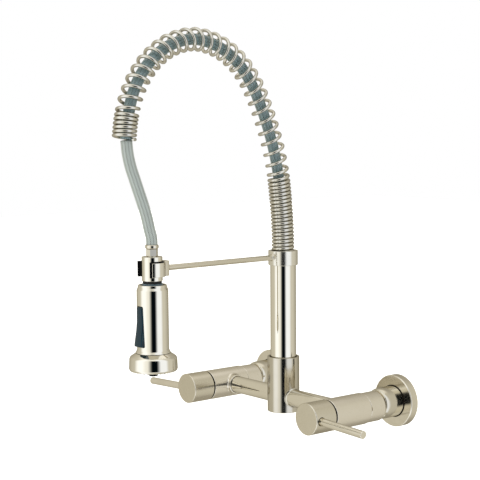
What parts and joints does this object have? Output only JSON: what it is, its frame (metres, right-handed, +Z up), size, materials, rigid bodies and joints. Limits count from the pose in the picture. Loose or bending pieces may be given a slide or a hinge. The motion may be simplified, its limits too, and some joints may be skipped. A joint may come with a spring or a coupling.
{
  "type": "pre rinse faucet",
  "caption": "Wall-mounted bridge kitchen faucet with two lever valves, a swivelling riser, a sprung high-arc hose and a docked spray head with a thumb paddle.",
  "frame": {"origin": "on the wall's face, midway between the two inlets, at the inlets' height", "axes": "+X right along the wall as a user sees it, +Y into the wall, +Z up"},
  "size_m": [0.3546, 0.2951, 0.4241],
  "materials": {
    "satin_nickel": "satin brushed warm nickel plating on brass",
    "polished_nickel": "mirror-polished warm nickel plating on brass",
    "spring_steel": "nickel-plated steel wire, bright satin",
    "braided_hose": "grey translucent hose over a fine woven braid",
    "black_plastic": "black moulded plastic",
    "trigger_grey": "dark blue-grey moulded plastic, fine matt texture",
    "grey_plastic": "blue-grey moulded plastic",
    "rubber": "black moulded rubber",
    "brass": "bare machined brass",
    "cartridge_plastic": "off-white moulded plastic",
    "steel": "plain stainless steel"
  },
  "bodies": {
    "fixed_body": {"hub_body": "satin_nickel", "riser_bush": "black_plastic", "riser_o_ring": "rubber", "hub_lock_screw": "steel", "bridge_tube_left": "satin_nickel", "bridge_tube_right": "satin_nickel", "valve_body_left": "satin_nickel", "valve_body_right": "satin_nickel", "coupling_nut_left": "satin_nickel", "coupling_nut_right": "satin_nickel", "inlet_union_left": "polished_nickel", "inlet_union_right": "polished_nickel", "wall_flange_left": "satin_nickel", "wall_flange_right": "satin_nickel", "seal_washer_left": "rubber", "seal_washer_right": "rubber", "cartridge_left": "cartridge_plastic", "cartridge_right": "cartridge_plastic", "bonnet_nut_left": "brass", "bonnet_nut_right": "brass"},
    "left_handle": {"handle_cap_left": "satin_nickel", "lever_rod_left": "satin_nickel", "cartridge_stem_left": "brass", "handle_screw_left": "steel"},
    "right_handle": {"handle_cap_right": "satin_nickel", "lever_rod_right": "satin_nickel", "cartridge_stem_right": "brass", "handle_screw_right": "steel"},
    "swivel_spout": {"riser_tube": "polished_nickel", "spring_collar": "satin_nickel", "docking_arm": "satin_nickel", "docking_clip": "polished_nickel", "clip_liner": "black_plastic", "hose_lower_fitting": "brass"},
    "spring_arch": {"support_spring": "spring_steel", "hose_inside": "braided_hose"},
    "hose_end": {"hose_drop": "braided_hose", "hose_ferrule": "polished_nickel", "hose_nut": "polished_nickel", "hose_washer": "rubber"},
    "spray_head": {"head_neck": "polished_nickel", "check_valve": "cartridge_plastic", "neck_gasket": "rubber", "neck_ring": "grey_plastic", "head_shell": "polished_nickel", "spray_core": "black_plastic", "face_ring": "polished_nickel", "spray_plate": "rubber", "aerator": "black_plastic", "trigger_pin": "steel", "valve_spring": "steel"},
    "trigger": {"trigger_paddle": "trigger_grey"},
    "push_rod": {"valve_stem": "brass"}
  },
  "joints": [
    {"name": "left_handle_turn", "type": "hinge", "parent": "fixed_body", "child": "left_handle", "pos_m": [-0.1011, -0.12, -0.0014], "axis": [0, 1, 0], "range_deg": [0, 90]},
    {"name": "right_handle_turn", "type": "hinge", "parent": "fixed_body", "child": "right_handle", "pos_m": [0.1011, -0.12, -0.0014], "axis": [0, -1, 0], "range_deg": [0, 90]},
    {"name": "spout_swivel", "type": "hinge", "parent": "fixed_body", "child": "swivel_spout", "pos_m": [0, -0.0768, 0.03], "axis": [0, 0, 1], "range_deg": [-90, 90]},
    {"name": "spring_flex", "type": "hinge", "parent": "swivel_spout", "child": "spring_arch", "pos_m": [0, -0.0835, 0.243], "axis": [1, 0, 0], "range_deg": [0, 25], "stiffness_Nm_per_rad": 2.4, "springref_deg": -51.57, "deforming": ["support_spring", "hose_inside"]},
    {"name": "hose_bend", "type": "hinge", "parent": "spring_arch", "child": "hose_end", "pos_m": [0, -0.2808, 0.2836], "axis": [1, 0, 0], "range_deg": [-25, 0], "deforming": ["hose_drop"]},
    {"name": "head_twist", "type": "hinge", "parent": "hose_end", "child": "spray_head", "pos_m": [0, -0.2515, 0.15], "axis": [0, 0, 1], "range_deg": [-180, 180]},
    {"name": "trigger_press", "type": "hinge", "parent": "spray_head", "child": "trigger", "pos_m": [0, -0.2661, 0.1125], "axis": [1, 0, 0], "range_deg": [0, 5], "stiffness_Nm_per_rad": 0.4, "springref_deg": -11.46},
    {"name": "push_rod_slide", "type": "slide", "parent": "spray_head", "child": "push_rod", "axis": [0, 1, 0], "range_m": [0, 0.0025], "deforming": ["valve_spring"]}
  ],
  "couplings": [
    {"joint": "hose_bend", "follows": "spring_flex", "ratio": -1},
    {"joint": "push_rod_slide", "follows": "trigger_press", "m_per_rad": 0.0265}
  ]
}
